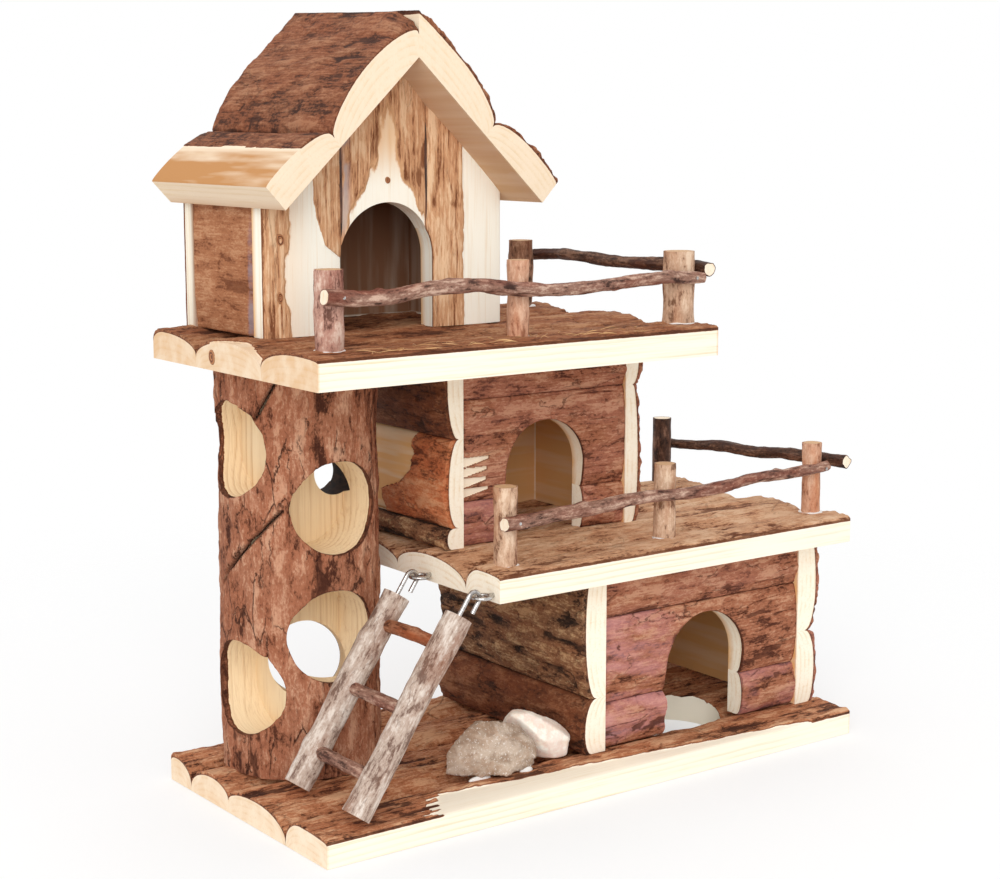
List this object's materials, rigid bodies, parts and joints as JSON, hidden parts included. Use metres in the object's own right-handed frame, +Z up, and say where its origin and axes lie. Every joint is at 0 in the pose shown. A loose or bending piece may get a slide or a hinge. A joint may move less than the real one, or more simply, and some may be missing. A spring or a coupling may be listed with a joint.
{
  "type": "rodent house",
  "caption": "Bark-slab play house for small rodents: bored trunk, stacked cabins with arched doorways, gabled house on the top deck, twig railings and a ladder that swings on its hooks.",
  "frame": {"origin": "middle of the base's underside", "axes": "+X along the base from the trunk to the ground cabin, +Y from the doorways to the back, +Z up"},
  "size_m": [0.2572, 0.1215, 0.2905],
  "materials": {
    "bark_slab": "matte bark, pale sawn faces",
    "trunk_bark": "rough matte bark",
    "barked_stick": "matte thin bark",
    "twig": "smooth dark bark",
    "ladder_stick": "matte grey-brown bark",
    "steel_wire": "plain bright wire",
    "grey_stone": "rough broken stone",
    "pale_stone": "rough broken stone"
  },
  "bodies": {
    "house": {"base_slat_front": "bark_slab", "base_slat_mid_front": "bark_slab", "base_slat_mid_back": "bark_slab", "base_slat_back": "bark_slab", "ground_left_wall_lower": "bark_slab", "ground_left_wall_upper": "bark_slab", "ground_right_wall_lower": "bark_slab", "ground_right_wall_upper": "bark_slab", "ground_front_lower_left": "bark_slab", "ground_front_lower_right": "bark_slab", "ground_front_middle": "bark_slab", "ground_front_upper": "bark_slab", "ground_back_wall": "bark_slab", "mid_deck_front": "bark_slab", "mid_deck_middle": "bark_slab", "mid_deck_back": "bark_slab", "mid_left_wall_lower": "bark_slab", "mid_left_wall_middle": "bark_slab", "mid_left_wall_upper": "bark_slab", "mid_right_wall_lower": "bark_slab", "mid_right_wall_upper": "bark_slab", "mid_front_lower_left": "bark_slab", "mid_front_lower_right": "bark_slab", "mid_front_middle": "bark_slab", "mid_front_upper": "bark_slab", "mid_back_wall": "bark_slab", "top_deck_front": "bark_slab", "top_deck_middle": "bark_slab", "top_deck_back": "bark_slab", "house_front_left": "bark_slab", "house_front_centre": "bark_slab", "house_front_right": "bark_slab", "house_left_wall": "bark_slab", "house_right_wall": "bark_slab", "house_back_wall": "bark_slab", "roof_left_upper": "bark_slab", "roof_left_lower": "bark_slab", "roof_right_upper": "bark_slab", "roof_right_lower": "bark_slab", "tree_trunk": "trunk_bark", "top_post_front_left": "barked_stick", "top_post_front_middle": "barked_stick", "top_post_front_right": "barked_stick", "top_post_back_right": "barked_stick", "mid_post_front_left": "barked_stick", "mid_post_front_middle": "barked_stick", "mid_post_front_right": "barked_stick", "mid_post_back_right": "barked_stick", "top_front_rail": "twig", "top_side_rail": "twig", "mid_front_rail": "twig", "mid_side_rail": "twig", "screw_eyes": "steel_wire", "rail_brads": "steel_wire", "stone_grey": "grey_stone", "stone_pale": "pale_stone"},
    "ladder": {"ladder_stile_front": "ladder_stick", "ladder_stile_back": "ladder_stick", "ladder_rungs": "ladder_stick", "ladder_hooks": "steel_wire"}
  },
  "joints": [
    {"name": "ladder_swing", "type": "hinge", "parent": "house", "child": "ladder", "pos_m": [-0.0615, -0.0325, 0.0846], "axis": [0, 1, 0], "range_deg": [0, 100]}
  ]
}
